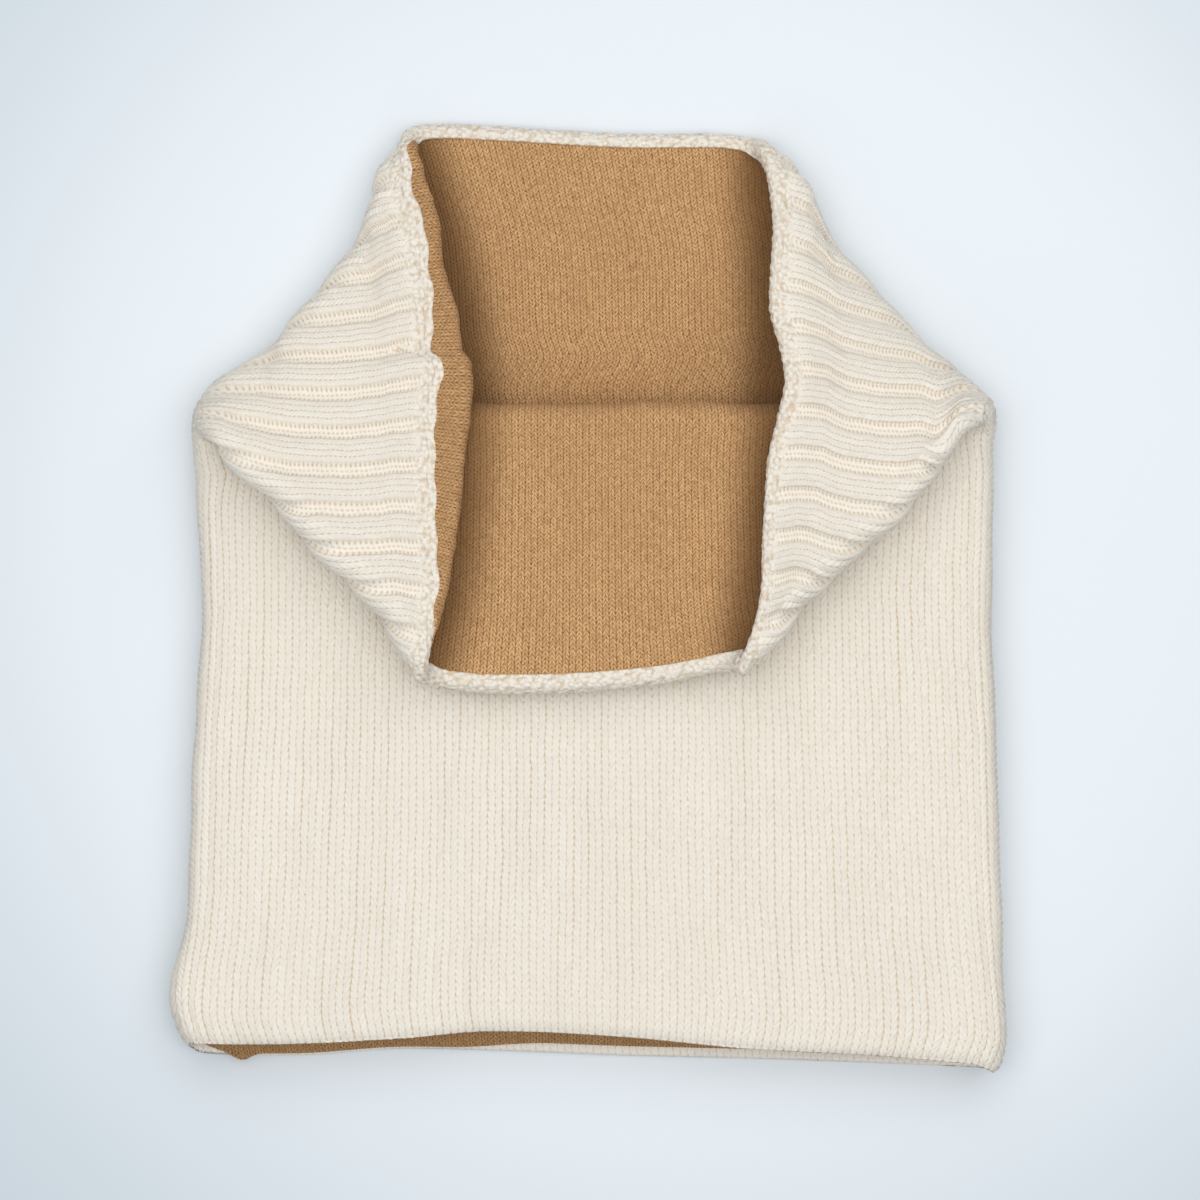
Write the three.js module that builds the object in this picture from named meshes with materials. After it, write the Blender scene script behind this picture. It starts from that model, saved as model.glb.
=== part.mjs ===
// A double-layer knitted snood lying flat: a tube whose cuff is opened out over the body like the squared
// mouth of a paper bag. Millimetres, +Z up, +Y from the hem to the far rim, origin under the middle.
import * as THREE from "three";

// Cloth
const OUTER_WALL = 3.2; // chunky outer knit
const LINING_WALL = 1.4; // fine inner knit
const PLY_GAP = 0.9; // air between the two layers
const RIB_COUNT = 44; // knit ribs round the cuff
const RIB_DEPTH = 1.3; // purl valleys between them

// Lengths along the tube, s, counted from the crease where the cuff turns over
const HEM_S = -200;
const RIB_START_S = 2; // stockinette below, rib above
const RIM_S = 88;

// Where the layers lie
const CREASE_Y = 59.8;
const BACK_Z = PLY_GAP / 2 + OUTER_WALL; // middle of the back wall, which lies on the table
const FOLD_RISE = 10.4; // from wall to wall round a side fold
const ROLL_R = 5.6; // middle of the front wall, where it rolls over at the crease
const FLAP_LIFT = 1.1; // the same rise at the flap's folded corners, as a share of FOLD_RISE
const CORNER_SOFTNESS = 6; // half the stretch of cloth that a corner is spread over
const CUFF_SOFTNESS = 1; // what the cuff's looser corners add to that, up to the rim
const CORNER_DIP = { L: 6, R: 2.5 }; // the front corners turn over this much nearer the hem than the crease
const DIP_REACH = 35; // width of front panel that eases into the dip
const SIDE_STEPS = 6; // straight stretches that stand for the curve of each side wall
const CORNER_BULGE = { L: 4, R: 6 }; // the rim's far corners swell outward by this much
const BULGE_START_S = 45;
const LIFTING = { from: -10, to: 16 }; // the stretch of s over which the cuff's sides rise off the body
const DIP_GROWS = { from: -40, to: -3 }; // the stretch of s over which the front corners' dip grows
const DIP_FADES = { from: 5, to: 45 };
const SOFTER_START_S = 24; // the cuff's corners loosen from here to the rim

// Rim and hem
const BEAD_R = 2.65; // rolled end of the cuff
const JOINT_GAP = 0.4;
const HEM_ROUND = 1.3;
const LINING_HEM_INSET = 2.2;
const SEAM_INWARD = 6.8; // from where the bead starts, round it to where cream meets camel
const SEAM_OUTWARD = -6; // the same on the left flap, where the lining rolls over onto the outside

const MID_OUT = PLY_GAP / 2; // offsets from the middle of the wall, outward positive
const OUTER_FACE = MID_OUT + OUTER_WALL;
const INNER_FACE = -MID_OUT - LINING_WALL;

// Half widths of the tube's middle surface, left and right of the centre line, at each distance s.
// back and front are where the corners fold over, side is half way between them.
const SECTIONS = [
  { s: -200, backL: 124.5, sideL: 124.5, frontL: 124.5, backR: 126.5, sideR: 126.5, frontR: 126.5 },
  { s: -190, backL: 128.5, sideL: 128.5, frontL: 128.5, backR: 128.5, sideR: 128.5, frontR: 128.5 },
  { s: -160, backL: 123.5, sideL: 123.5, frontL: 123.5, backR: 127.5, sideR: 127.5, frontR: 127.5 },
  { s: -110, backL: 121, sideL: 121, frontL: 121, backR: 125.5, sideR: 125.5, frontR: 125.5 },
  { s: -60, backL: 118.5, sideL: 118.5, frontL: 118.5, backR: 124, sideR: 124, frontR: 124 },
  { s: -14, backL: 121, sideL: 121, frontL: 121, backR: 124.5, sideR: 124.5, frontR: 124.5 },
  { s: 0, backL: 120.5, sideL: 120.5, frontL: 120, backR: 125, sideR: 124.5, frontR: 122.5 },
  { s: 8, backL: 115, sideL: 114, frontL: 114.5, backR: 118, sideR: 117, frontR: 114 },
  { s: 16, backL: 101.5, sideL: 106, frontL: 107.5, backR: 107.5, sideR: 110, frontR: 109 },
  { s: 24, backL: 94.5, sideL: 98, frontL: 99.5, backR: 99.5, sideR: 104, frontR: 103.5 },
  { s: 34, backL: 86.2, sideL: 88, frontL: 92.6, backR: 90.5, sideR: 96.5, frontR: 96.5 },
  { s: 44, backL: 77.6, sideL: 78, frontL: 85.5, backR: 82, sideR: 89, frontR: 85.5 },
  { s: 55, backL: 69.5, sideL: 68, frontL: 74, backR: 73, sideR: 81, frontR: 73.5 },
  { s: 66, backL: 64, sideL: 58, frontL: 62.5, backR: 65.5, sideR: 73, frontR: 62 },
  { s: 77, backL: 60.5, sideL: 48, frontL: 55.5, backR: 60, sideR: 65.5, frontR: 54.4 },
  { s: 88, backL: 57.5, sideL: 38, frontL: 50, backR: 55, sideR: 58, frontR: 47 },
];

// How far the hem runs past HEM_S, on the front and the back panel, across the width
const HEM_LINE = [
  { x: -126, front: -1.5, back: -1.5 },
  { x: -124.5, front: 0, back: 0.2 },
  { x: -121.5, front: 2.2, back: 2.6 },
  { x: -115, front: 2.8, back: 3.4 },
  { x: -90, front: 2.6, back: 3.7 },
  { x: -60, front: 1.1, back: 2.2 },
  { x: -30, front: -0.5, back: 3.6 },
  { x: 10, front: 1.0, back: 5.0 },
  { x: 50, front: 3.4, back: 5.9 },
  { x: 90, front: 7.4, back: 7.4 },
  { x: 125, front: 10.4, back: 8.8 },
];
const HEM_REACH = 120; // the stretch of tube over which the hem's line fades out

// How far the rim's front and back edges run on outwards, across the width
const RIM_LINE = [
  { x: -60, front: -1.0, back: 1.9 },
  { x: -44, front: 3.5, back: 2.5 },
  { x: -32, front: 4.8, back: 2.0 },
  { x: -12, front: 4.8, back: 0.8 },
  { x: 8, front: 3.6, back: -0.4 },
  { x: 27, front: 1.3, back: -0.6 },
  { x: 42, front: -2.2, back: -0.6 },
  { x: 56, front: -5.0, back: -3.0 },
];

const RIM_REACH_S = 48; // this fades out from the rim to here
const RIM_BLUR = 0.02; // share of the loop over which an edge passes round a corner

// How the cuff's side walls stand above the straight line between their corners
const SIDE_CROWN = [
  { s: 0, left: 0, right: 0 },
  { s: 30, left: 1, right: 4 },
  { s: 60, left: 1, right: 7 },
  { s: 88, left: 2, right: 6 },
];

const clamp01 = (t) => Math.min(1, Math.max(0, t));
const mix = (a, b, t) => a + (b - a) * t;
function ease(from, to, value) {
  const t = clamp01((value - from) / (to - from));
  return t * t * (3 - 2 * t);
}

// A smooth curve through one column of a table, straight beyond its ends
function readTable(rows, key, column, at) {
  const last = rows.length - 1;
  const slope = (i) => {
    const a = rows[Math.max(0, i - 1)];
    const b = rows[Math.min(last, i + 1)];
    return (b[column] - a[column]) / (b[key] - a[key]);
  };
  if (at <= rows[0][key]) return rows[0][column] + slope(0) * (at - rows[0][key]);
  if (at >= rows[last][key]) return rows[last][column] + slope(last) * (at - rows[last][key]);
  let i = 0;
  while (at > rows[i + 1][key]) i++;
  const step = rows[i + 1][key] - rows[i][key];
  const t = (at - rows[i][key]) / step;
  const t2 = t * t;
  const t3 = t2 * t;
  return (
    (2 * t3 - 3 * t2 + 1) * rows[i][column] +
    (t3 - 2 * t2 + t) * step * slope(i) +
    (3 * t2 - 2 * t3) * rows[i + 1][column] +
    (t3 - t2) * step * slope(i + 1)
  );
}

// The front wall runs up the body, rolls back over itself at the crease and lies down as the flap
function frontLine(s) {
  const quarter = (Math.PI / 2) * ROLL_R;
  const turn = Math.min(Math.PI, Math.max(0, (s + quarter) / ROLL_R));
  const before = Math.min(0, s + quarter);
  const after = Math.max(0, s - quarter);
  return {
    y: CREASE_Y - ROLL_R + ROLL_R * Math.sin(turn) + before - after,
    z: BACK_Z + FOLD_RISE + ROLL_R * (1 - Math.cos(turn)),
  };
}

// The corners of the closed loop of cloth at distance s, starting on the left of the back wall:
// up over the back fold, along the side wall's curve, down under the flap's fold, and back on the right
function loopCorners(s) {
  const half = (name) => readTable(SECTIONS, "s", name, s);
  const front = frontLine(s);
  const folded = ease(LIFTING.from, LIFTING.to, s);
  const dipping = ease(DIP_GROWS.from, DIP_GROWS.to, s) - ease(DIP_FADES.from, DIP_FADES.to, s);
  const back = { y: CREASE_Y + s, z: BACK_Z + FOLD_RISE };
  const flapZ = front.z + FLAP_LIFT * FOLD_RISE * folded;
  const side = (sign, letter, crown) => {
    const flapY = front.y - CORNER_DIP[letter] * dipping;
    const bulge = CORNER_BULGE[letter] * ease(BULGE_START_S, RIM_S, s);
    const backX = half("back" + letter);
    const frontX = half("front" + letter);
    const bow = half("side" + letter) - (backX + frontX) / 2;
    const lift = Math.max(0, readTable(SIDE_CROWN, "s", crown, s)) * folded;
    const path = [new THREE.Vector3(sign * backX, back.y, BACK_Z)];
    for (let i = 0; i <= SIDE_STEPS; i++) {
      const t = i / SIDE_STEPS;
      const arch = 4 * t * (1 - t);
      const swell = bulge * (1 - t) * (1 - t);
      path.push(
        new THREE.Vector3(
          sign * (mix(backX, frontX, t) + bow * arch + swell),
          mix(back.y, flapY, t) - swell,
          mix(back.z, flapZ, t) + lift * arch,
        ),
      );
    }
    path.push(new THREE.Vector3(sign * frontX, flapY, front.z));
    path.push(new THREE.Vector3(sign * (frontX - DIP_REACH), front.y, front.z));
    return path;
  };
  return [...side(-1, "L", "left"), ...side(1, "R", "right").reverse()];
}

// The loop with its corners softened: each point is the mean of the corner line over a short stretch
class Loop {
  constructor(s) {
    this.corners = loopCorners(s);
    this.soft = CORNER_SOFTNESS + CUFF_SOFTNESS * ease(SOFTER_START_S, RIM_S, s);
    const n = this.corners.length;
    this.start = [0];
    this.sum = [new THREE.Vector3()];
    for (let i = 0; i < n; i++) {
      const a = this.corners[i];
      const b = this.corners[(i + 1) % n];
      const length = a.distanceTo(b);
      this.start.push(this.start[i] + length);
      this.sum.push(a.clone().add(b).multiplyScalar(length / 2).add(this.sum[i]));
    }
    this.length = this.start[n];
    this.backCentre = this.length - this.corners[n - 1].x;
  }

  // Integral of the corner line's position from its first corner
  integral(l) {
    const n = this.corners.length;
    const rounds = Math.floor(l / this.length);
    const rest = l - rounds * this.length;
    let i = 0;
    while (i < n - 1 && rest > this.start[i + 1]) i++;
    const a = this.corners[i];
    const b = this.corners[(i + 1) % n];
    const t = rest - this.start[i];
    const edge = Math.max(1e-9, this.start[i + 1] - this.start[i]);
    return b
      .clone()
      .sub(a)
      .multiplyScalar((t * t) / (2 * edge))
      .addScaledVector(a, t)
      .add(this.sum[i])
      .addScaledVector(this.sum[n], rounds);
  }

  at(fraction) {
    const l = this.backCentre + fraction * this.length;
    return this.integral(l + this.soft)
      .sub(this.integral(l - this.soft))
      .divideScalar(2 * this.soft);
  }

  // Fractions of the loop where it folds over, from the back centre round by the left
  foldFractions() {
    const from = this.length - this.backCentre;
    const middle = (i) => ((this.start[i] + this.start[i + 1]) / 2 + from) / this.length;
    const lastEdge = this.corners.length - 2;
    return [0, SIDE_STEPS + 1, lastEdge - SIDE_STEPS - 1, lastEdge].map(middle);
  }
}

const loops = new Map();
function loopAt(s) {
  if (!loops.has(s)) loops.set(s, new Loop(s));
  return loops.get(s);
}

// 1 between two fractions of the loop and 0 elsewhere
const between = (fraction, start, end) =>
  ease(start - RIM_BLUR, start + RIM_BLUR, fraction) * ease(end + RIM_BLUR, end - RIM_BLUR, fraction);

// Moves a point of the cuff to the rim's own line
function shapeRim(p, fraction, near) {
  const [topLeft, bottomLeft, bottomRight, topRight] = loopAt(RIM_S).foldFractions();
  const onFront = between(fraction, bottomLeft, bottomRight);
  const onBack = 1 - between(fraction, topLeft, topRight);
  const back = readTable(RIM_LINE, "x", "back", p.x);
  const front = readTable(RIM_LINE, "x", "front", p.x);
  p.y += near * (onBack * back - onFront * front);
}

// A point of the wall's middle surface, with the hem line's rise and fall
function wallPoint(fraction, s) {
  const p = loopAt(s).at(fraction);
  const near = ease(HEM_S + HEM_REACH, HEM_S, s);
  if (near > 0) {
    const over = ease(BACK_Z, BACK_Z + FOLD_RISE, p.z);
    const back = readTable(HEM_LINE, "x", "back", p.x);
    const front = readTable(HEM_LINE, "x", "front", p.x);
    p.y -= near * mix(back, front, over);
  }
  const nearRim = ease(RIM_REACH_S, RIM_S, s);
  if (nearRim > 0) shapeRim(p, fraction, nearRim);
  return p;
}

// The same point moved out of the wall's middle by a distance along its normal
function clothPoint(fraction, s, offset) {
  const stepF = 1e-3;
  const stepS = 0.5;
  const across = wallPoint(fraction + stepF, s).sub(wallPoint(fraction - stepF, s));
  const along = wallPoint(fraction, s + stepS).sub(wallPoint(fraction, s - stepS));
  return across.cross(along).setLength(offset).add(wallPoint(fraction, s));
}

// Spreads count points over [from, to] with extra ones near each of the given places
const CROWDING = 1.5; // how sharply the extra points crowd together
const SEARCH_STEPS = 40; // halvings in each search
function spread(count, from, to, places, extra, width) {
  const ramp = (x, c) => 0.5 + 0.5 * Math.tanh((CROWDING * (x - c)) / width);
  const filled = (x) => {
    let total = ((count - extra * places.length) * (x - from)) / (to - from);
    for (const c of places) total += (extra * (ramp(x, c) - ramp(from, c))) / (ramp(to, c) - ramp(from, c));
    return total / count;
  };
  const out = [];
  for (let i = 0; i < count; i++) {
    let low = from;
    let high = to;
    for (let n = 0; n < SEARCH_STEPS; n++) {
      const middle = (low + high) / 2;
      if (filled(middle) < i / count) low = middle;
      else high = middle;
    }
    out.push((low + high) / 2);
  }
  return out;
}

// Columns that follow the folds as they move round the loop
const PLAIN_COLUMNS = 44; // round the body and the lining
const FOLD_COLUMNS = 5;
const FOLD_WIDTH = 12;
const columnSets = new Map();
function foldingColumn(j, s) {
  if (!columnSets.has(s)) {
    const loop = loopAt(s);
    const width = FOLD_WIDTH / loop.length;
    columnSets.set(s, spread(PLAIN_COLUMNS, 0, 1, loop.foldFractions(), FOLD_COLUMNS, width));
  }
  return columnSets.get(s)[j];
}

// The distance s at which a rib at this fraction crosses the folded corner
const SEARCH_END_S = RIM_S + 60;
function foldCrossing(fraction) {
  const quarter = Math.min(3, Math.floor(fraction * 4));
  const outward = quarter === 0 || quarter === 2 ? 1 : -1;
  let low = 0;
  let high = SEARCH_END_S;
  for (let n = 0; n < SEARCH_STEPS; n++) {
    const middle = (low + high) / 2;
    const fold = loopAt(middle).foldFractions()[quarter];
    if ((fold - fraction) * outward > 0) low = middle;
    else high = middle;
  }
  return (low + high) / 2;
}

// A closed skin: a closed profile of (s, offset) points for each column, joined round the loop
function ringSolid(columns, fractionAt, profileAt) {
  const positions = [];
  let rows = 0;
  for (let j = 0; j < columns; j++) {
    const profile = profileAt(j);
    rows = profile.length;
    for (const { s, offset } of profile) {
      positions.push(...clothPoint(fractionAt(j, s), s, offset).toArray());
    }
  }
  const index = [];
  for (let j = 0; j < columns; j++) {
    const next = (j + 1) % columns;
    const leansBack = Math.floor((4 * j) / columns) % 2 === 0;
    for (let k = 0; k < rows; k++) {
      const up = (k + 1) % rows;
      const a = j * rows + k;
      const b = next * rows + k;
      const c = next * rows + up;
      const d = j * rows + up;
      if (leansBack) index.push(a, d, b, b, d, c);
      else index.push(a, c, b, a, d, c);
    }
  }
  const geometry = new THREE.BufferGeometry();
  geometry.setAttribute("position", new THREE.Float32BufferAttribute(positions, 3));
  geometry.setIndex(index);
  return geometry;
}

const rowsOf = (list, offset) => list.map((s) => ({ s, offset }));
const reversed = (list) => [...list].reverse();

// The rim's path: along the wall's outer face to the bead, where its length is 0, then round the bead
const BEAD_S = RIM_S - BEAD_R;
const BEAD_OFFSET = (OUTER_FACE + INNER_FACE) / 2;
const HALF_ROUND = Math.PI * BEAD_R;
function rimPoint(length) {
  if (length < 0) return { s: BEAD_S + length, offset: OUTER_FACE };
  const angle = length / BEAD_R;
  return { s: BEAD_S + BEAD_R * Math.sin(angle), offset: BEAD_OFFSET + BEAD_R * Math.cos(angle) };
}
function rimPoints(from, to, steps) {
  const out = [];
  for (let i = 0; i <= steps; i++) out.push(rimPoint(mix(from, to, i / steps)));
  return out;
}
// 1 on the left side of the rim, 0 on the rest. It starts and ends over shares of the loop that are counted
// from the corners
const LEFT_STARTS = { from: -0.03, to: 0.05 };
const LEFT_ENDS = { from: 0.02, to: -0.05 };
function onLeftSide(fraction) {
  const [top, bottom] = loopAt(RIM_S).foldFractions();
  const started = ease(top + LEFT_STARTS.from, top + LEFT_STARTS.to, fraction);
  const notEnded = ease(bottom + LEFT_ENDS.from, bottom + LEFT_ENDS.to, fraction);
  return started * notEnded;
}
// Where cream meets camel, as a length along the rim's path
const seamAt = (fraction) => mix(SEAM_INWARD, SEAM_OUTWARD, onLeftSide(fraction));

// Body: stockinette from the hem to the crease
const ROLL_ROWS = [-16, -10, -7, -4, -1, RIB_START_S - 2 * JOINT_GAP]; // shared by both layers
const BODY_ROWS = [-196, -188, -165, -125, -80, -45, ...ROLL_ROWS];
function bodyProfile() {
  return [
    ...rowsOf(BODY_ROWS, MID_OUT),
    ...rowsOf(reversed(BODY_ROWS), OUTER_FACE),
    { s: HEM_S + HEM_ROUND / 2, offset: OUTER_FACE - HEM_ROUND / 2 },
    { s: HEM_S, offset: (OUTER_FACE + MID_OUT) / 2 },
    { s: HEM_S + HEM_ROUND / 2, offset: MID_OUT + HEM_ROUND / 4 },
  ];
}

// Cuff: ribs in relief, then the bead
const COLUMNS_PER_RIB = 3; // the last one runs down the purl valley
const CUFF_COLUMNS = COLUMNS_PER_RIB * RIB_COUNT;
const BEAD_STEPS = 3;
const CUFF_ROWS = 8;
const CROSSING_ROWS = 4;
const CROSSING_WIDTH = 11;
function cuffProfile(j) {
  const fraction = j / CUFF_COLUMNS;
  const seam = seamAt(fraction);
  const flatEnd = BEAD_S + Math.min(0, seam);
  const places = [foldCrossing(fraction)];
  const span = [RIB_START_S, flatEnd - JOINT_GAP];
  const rows = spread(CUFF_ROWS, ...span, places, CROSSING_ROWS, CROSSING_WIDTH);
  const valley = (j + 1) % COLUMNS_PER_RIB === 0 ? RIB_DEPTH : 0;
  const outside = rows.map((s) => ({ s, offset: OUTER_FACE - valley }));
  return [
    ...rowsOf([...rows, flatEnd - JOINT_GAP], MID_OUT),
    ...reversed(rimPoints(Math.min(0, seam), seam, BEAD_STEPS)),
    ...reversed(outside),
  ];
}

// Lining: a plain tube inside both
const LINING_BODY = [HEM_S + LINING_HEM_INSET, -188, -165, -100, -45];
const LINING_CUFF = [4.5, 9, 16, 26, 37, 48, 59, 68, 77];
const LIP_STEPS = 5; // round the lip, where the lining rolls over the rim
function liningProfile(j) {
  const seam = seamAt(foldingColumn(j, RIM_S));
  const shoulder = BEAD_S - 2 * JOINT_GAP;
  const lipStart = shoulder + 3 * JOINT_GAP * ease(SEAM_INWARD, 0, seam) + Math.min(0, seam);
  const rows = [...LINING_BODY, ...ROLL_ROWS, ...LINING_CUFF];
  return [
    ...rowsOf([...rows, shoulder], INNER_FACE),
    ...reversed(rimPoints(seam + JOINT_GAP, HALF_ROUND, LIP_STEPS)),
    ...rowsOf(reversed([...rows, lipStart]), -MID_OUT),
  ];
}

const cream = { color: 0xf1e7d6, roughness: 0.95, metalness: 0 };
const camel = { color: 0xb98a55, roughness: 0.95, metalness: 0 };
function piece(name, geometry, finish) {
  const mesh = new THREE.Mesh(geometry, new THREE.MeshStandardMaterial(finish));
  mesh.name = name;
  return mesh;
}

const cuffColumn = (j) => j / CUFF_COLUMNS;

const snood = new THREE.Group();
snood.add(
  piece("outer_body", ringSolid(PLAIN_COLUMNS, foldingColumn, bodyProfile), cream),
  piece("rib_cuff", ringSolid(CUFF_COLUMNS, cuffColumn, cuffProfile), cream),
  piece("lining", ringSolid(PLAIN_COLUMNS, foldingColumn, liningProfile), camel),
);
export default snood;
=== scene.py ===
"""A double-layer knitted snood lying flat with its ribbed cuff opened out, seen from straight above."""
import math

import bpy
import numpy as np
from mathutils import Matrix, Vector


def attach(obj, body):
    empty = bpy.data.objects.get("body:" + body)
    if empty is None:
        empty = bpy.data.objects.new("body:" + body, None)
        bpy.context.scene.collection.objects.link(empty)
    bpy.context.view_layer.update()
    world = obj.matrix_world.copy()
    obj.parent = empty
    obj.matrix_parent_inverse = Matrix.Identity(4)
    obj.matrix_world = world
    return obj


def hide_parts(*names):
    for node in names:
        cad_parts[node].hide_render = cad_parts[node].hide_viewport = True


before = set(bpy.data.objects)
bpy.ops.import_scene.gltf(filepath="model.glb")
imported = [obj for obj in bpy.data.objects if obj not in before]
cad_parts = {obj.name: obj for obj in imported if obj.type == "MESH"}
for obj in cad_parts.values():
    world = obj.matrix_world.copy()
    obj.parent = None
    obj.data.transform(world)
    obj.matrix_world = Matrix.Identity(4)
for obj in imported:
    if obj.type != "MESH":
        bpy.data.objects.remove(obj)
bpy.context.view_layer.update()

MM = 0.001

# The tube, in millimetres. Its sizes are those of part.mjs, but SECTIONS and HEM_LINE are up to 3 mm off it,
# nearer to the photo, and RIM_EDGE and the rim's curl are only here
OUTER_WALL = 3.2
LINING_WALL = 1.4
PLY_GAP = 0.9
RIB_COUNT = 44
HEM_S = -200.0  # s is the length along the tube from the crease where the cuff turns over
RIB_START_S = 2.0
RIM_S = 88.0
CREASE_Y = 59.8
BACK_Z = PLY_GAP / 2 + OUTER_WALL
FOLD_RISE = 10.4  # from wall to wall round a side fold
ROLL_R = 5.6
FLAP_LIFT = 1.1  # the same rise at the flap's folded corners, as a share of FOLD_RISE
LIFTING = (-10, 16)  # the stretch of s over which the cuff's sides rise off the body
DIP_GROWS = (-40, -3)  # the stretch of s over which the front corners' dip grows
DIP_FADES = (5, 45)
CORNER_SOFTNESS = 6.0  # half the stretch of cloth that a corner is spread over
CUFF_SOFTNESS = 1.0  # what the cuff's looser corners add to that, up to the rim
SOFTER_START_S = 24
CORNER_DIP_L = 6.0  # the front corners turn over this much nearer the hem than the crease
CORNER_DIP_R = 2.5
DIP_REACH = 35.0
SIDE_STEPS = 6
BEAD_R = 2.65  # rolled end of the cuff
CORNER_BULGE_L = 4.0  # the rim's far corners swell outward by this much
CORNER_BULGE_R = 6.0
BULGE_START_S = 45.0
RIM_CURL_L = 7.0  # how far the rim's back corners curl inwards
RIM_CURL_R = 8.0
CURL_START_S = 74.0
CURL_LIFT = 0.25  # the share of the curl by which the side rises
CURL_BELOW = 0.35  # the share of the curl that the back wall's edge follows
MID_OUT = PLY_GAP / 2  # offsets from the middle of the wall, outward positive
OUTER_FACE = MID_OUT + OUTER_WALL
INNER_FACE = -MID_OUT - LINING_WALL
BEAD_S = RIM_S - BEAD_R
BEAD_OFFSET = (OUTER_FACE + INNER_FACE) / 2
HEM_REACH = 120.0  # the hem line fades out over this length of the tube
RIM_REACH_S = 48.0  # the rim line fades in from here
RIM_BLUR = 0.02

# s, then how far the loop's folds lie from the middle: back, side and front on the left, then on the right
SECTIONS = np.array([
    (-200, 124.5, 124.5, 124.5, 126.5, 126.5, 126.5),
    (-190, 128.5, 128.5, 128.5, 128.5, 128.5, 128.5),
    (-160, 123.5, 123.5, 123.5, 127.5, 127.5, 127.5),
    (-110, 121, 121, 121, 125.5, 125.5, 125.5),
    (-60, 118.5, 118.5, 118.5, 124, 124, 124),
    (-14, 121, 121, 121, 124.5, 124.5, 124.5),
    (0, 120.5, 120.5, 120, 125, 124.5, 122.5),
    (8, 113, 113, 114.5, 117, 117, 114),
    (16, 98.5, 104.5, 107.5, 106.5, 110, 109),
    (24, 92.5, 97, 99.5, 98.5, 104, 103.5),
    (34, 84.0, 87, 92.6, 89.5, 96.5, 96.5),
    (44, 75.8, 77, 85.5, 81, 89, 85.5),
    (55, 67.9, 67, 74, 72, 80.5, 73.5),
    (66, 64, 58, 62.5, 65.5, 73, 62),
    (77, 60.5, 48, 55.5, 60, 65.5, 54.4),
    (88, 57.5, 38, 50, 55, 58, 47),
], float)
# x, then how far the hem runs on downwards, on the front wall and on the back
HEM_LINE = np.array([
    (-126, -1.5, -1.5), (-124.5, 0, 0.2), (-121.5, 2.2, 2.6), (-115, 2.8, 3.4), (-90, 2.6, 3.7),
    (-60, 1.1, 1.7), (-30, -1.3, 2.2), (10, 0.4, 3.7), (50, 4.2, 4.7), (90, 6.4, 6.1), (125, 9.4, 7.6),
], float)
# x, then how far the rim runs on outwards, over the front flap and over the back
RIM_LINE = np.array([
    (-60, -1.0, 1.9), (-44, 3.5, 2.5), (-32, 4.8, 2.0), (-12, 4.8, 0.8), (8, 3.6, -0.4),
    (27, 1.3, -0.6), (42, -2.2, -0.6), (56, -5.0, -3.0),
], float)
# y, then how far the rim's side walls stand outwards, left and right
RIM_EDGE = np.array([
    (-30, 0, -4.0), (-12, 1.6, 1.0), (2, 1.6, 1.9), (20, 1.5, 0.2), (42, 1.4, -0.6), (56, 0.6, 1.5),
    (68, -0.2, 3.6), (78, 0, 2.0), (90, 0.6, -1.0), (104, 2.8, 0), (118, 1.0, 1.6), (132, 0.6, 1.6),
    (144, 0, 0),
], float)
# s, then how high the cuff's side bows up, left and right
SIDE_CROWN = np.array([(0, 0, 0), (30, 1, 4), (60, 1, 7), (88, 2, 6)], float)


def ease(start, end, value):
    """0 before start, 1 after end, and a smooth step between."""
    t = np.clip((np.asarray(value, float) - start) / (end - start), 0, 1)
    return t * t * (3 - 2 * t)


def read_table(table, column, at):
    """A smooth curve through one column of a table, straight beyond its ends."""
    x, y = table[:, 0], table[:, column]
    slope = np.empty(len(x))
    slope[1:-1] = (y[2:] - y[:-2]) / (x[2:] - x[:-2])
    slope[0] = (y[1] - y[0]) / (x[1] - x[0])
    slope[-1] = (y[-1] - y[-2]) / (x[-1] - x[-2])
    at = np.asarray(at, float)
    i = np.clip(np.searchsorted(x, at, side="right") - 1, 0, len(x) - 2)
    step = x[i + 1] - x[i]
    t = (at - x[i]) / step
    t2, t3 = t * t, t * t * t
    value = ((2 * t3 - 3 * t2 + 1) * y[i] + (t3 - 2 * t2 + t) * step * slope[i]
             + (3 * t2 - 2 * t3) * y[i + 1] + (t3 - t2) * step * slope[i + 1])
    value = np.where(at < x[0], y[0] + slope[0] * (at - x[0]), value)
    return np.where(at > x[-1], y[-1] + slope[-1] * (at - x[-1]), value)


def front_line(s):
    """(y, z) of the front wall, which rolls back over itself at the crease and lies down as the flap."""
    quarter = math.pi / 2 * ROLL_R
    turn = min(math.pi, max(0.0, (s + quarter) / ROLL_R))
    y = CREASE_Y - ROLL_R + ROLL_R * math.sin(turn) + min(0.0, s + quarter) - max(0.0, s - quarter)
    return y, BACK_Z + FOLD_RISE + ROLL_R * (1 - math.cos(turn))


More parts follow.
